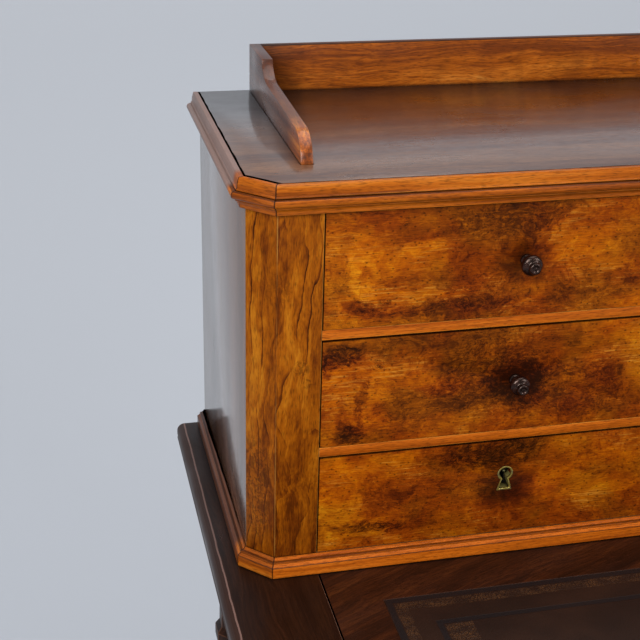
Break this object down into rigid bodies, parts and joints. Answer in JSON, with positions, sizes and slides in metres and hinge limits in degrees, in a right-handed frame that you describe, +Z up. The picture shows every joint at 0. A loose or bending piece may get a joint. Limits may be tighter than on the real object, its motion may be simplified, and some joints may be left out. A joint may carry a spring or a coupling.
{
  "type": "writing desk",
  "caption": "Writing desk with turned knobs on an upper case of small drawers, a leather-lined pull-out slide, a frieze drawer and faceted legs.",
  "frame": {"origin": "on the floor, under the middle of the desk top", "axes": "+Z up, -Y towards the person who sits at the desk, +X to that person's right"},
  "size_m": [0.971, 0.635, 1.1975],
  "materials": {
    "walnut_moulding": "polished walnut, orange brown",
    "burr_walnut": "burr walnut veneer, french polished",
    "post_walnut": "figured walnut, french polished",
    "side_walnut": "plain walnut, polished",
    "desk_walnut": "dark walnut, polished",
    "drawer_lining": "unpolished drawer lining wood",
    "inner_pine": "unpolished inner wood",
    "dark_turning": "dark turned wood, polished",
    "brass": "dull aged brass",
    "lock_steel": "dull steel",
    "writing_leather": "dark brown tooled leather"
  },
  "bodies": {
    "carcase": {"top_rear_board": "desk_walnut", "front_rails": "desk_walnut", "frieze_runners": "inner_pine", "apron_back": "desk_walnut", "top_board": "side_walnut", "upper_back": "inner_pine", "upper_bottom": "inner_pine", "centre_partition": "inner_pine", "centre_stile": "walnut_moulding", "dust_boards": "inner_pine", "drawer_guides": "inner_pine", "gallery_back": "walnut_moulding", "cornice_front": "walnut_moulding", "base_moulding_front": "walnut_moulding", "leg_front_left": "desk_walnut", "leg_back_left": "desk_walnut", "apron_left": "desk_walnut", "top_cheek_left": "desk_walnut", "upper_side_left": "side_walnut", "corner_post_left": "post_walnut", "drawer_rails_left": "walnut_moulding", "cornice_left": "walnut_moulding", "base_moulding_left": "walnut_moulding", "gallery_end_left": "walnut_moulding", "leg_front_right": "desk_walnut", "leg_back_right": "desk_walnut", "apron_right": "desk_walnut", "top_cheek_right": "desk_walnut", "upper_side_right": "side_walnut", "corner_post_right": "post_walnut", "drawer_rails_right": "walnut_moulding", "cornice_right": "walnut_moulding", "base_moulding_right": "walnut_moulding", "gallery_end_right": "walnut_moulding"},
    "top_drawer_left": {"top_drawer_left_front": "burr_walnut", "top_drawer_left_box": "drawer_lining", "top_drawer_left_knob": "dark_turning"},
    "top_drawer_right": {"top_drawer_right_front": "burr_walnut", "top_drawer_right_box": "drawer_lining", "top_drawer_right_knob": "dark_turning"},
    "middle_drawer_left": {"middle_drawer_left_front": "burr_walnut", "middle_drawer_left_box": "drawer_lining", "middle_drawer_left_knob": "dark_turning"},
    "middle_drawer_right": {"middle_drawer_right_front": "burr_walnut", "middle_drawer_right_box": "drawer_lining", "middle_drawer_right_knob": "dark_turning"},
    "bottom_drawer_left": {"bottom_drawer_left_front": "burr_walnut", "bottom_drawer_left_box": "drawer_lining", "bottom_drawer_left_escutcheon": "brass", "bottom_drawer_left_lock": "lock_steel"},
    "bottom_drawer_right": {"bottom_drawer_right_front": "burr_walnut", "bottom_drawer_right_box": "drawer_lining", "bottom_drawer_right_escutcheon": "brass", "bottom_drawer_right_lock": "lock_steel"},
    "frieze_drawer": {"frieze_drawer_front": "burr_walnut", "frieze_drawer_box": "drawer_lining", "frieze_drawer_escutcheon": "brass", "frieze_drawer_lock": "lock_steel"},
    "writing_slide": {"writing_slide": "desk_walnut", "slide_leather": "writing_leather"}
  },
  "joints": [
    {"name": "top_drawer_left_slide", "type": "slide", "parent": "carcase", "child": "top_drawer_left", "axis": [0, -1, 0], "range_m": [0, 0.22]},
    {"name": "top_drawer_right_slide", "type": "slide", "parent": "carcase", "child": "top_drawer_right", "axis": [0, -1, 0], "range_m": [0, 0.22]},
    {"name": "middle_drawer_left_slide", "type": "slide", "parent": "carcase", "child": "middle_drawer_left", "axis": [0, -1, 0], "range_m": [0, 0.22]},
    {"name": "middle_drawer_right_slide", "type": "slide", "parent": "carcase", "child": "middle_drawer_right", "axis": [0, -1, 0], "range_m": [0, 0.22]},
    {"name": "bottom_drawer_left_slide", "type": "slide", "parent": "carcase", "child": "bottom_drawer_left", "axis": [0, -1, 0], "range_m": [0, 0.22]},
    {"name": "bottom_drawer_right_slide", "type": "slide", "parent": "carcase", "child": "bottom_drawer_right", "axis": [0, -1, 0], "range_m": [0, 0.22]},
    {"name": "frieze_drawer_slide", "type": "slide", "parent": "carcase", "child": "frieze_drawer", "axis": [0, -1, 0], "range_m": [0, 0.36]},
    {"name": "writing_slide_slide", "type": "slide", "parent": "carcase", "child": "writing_slide", "axis": [0, -1, 0], "range_m": [0, 0.21]}
  ]
}
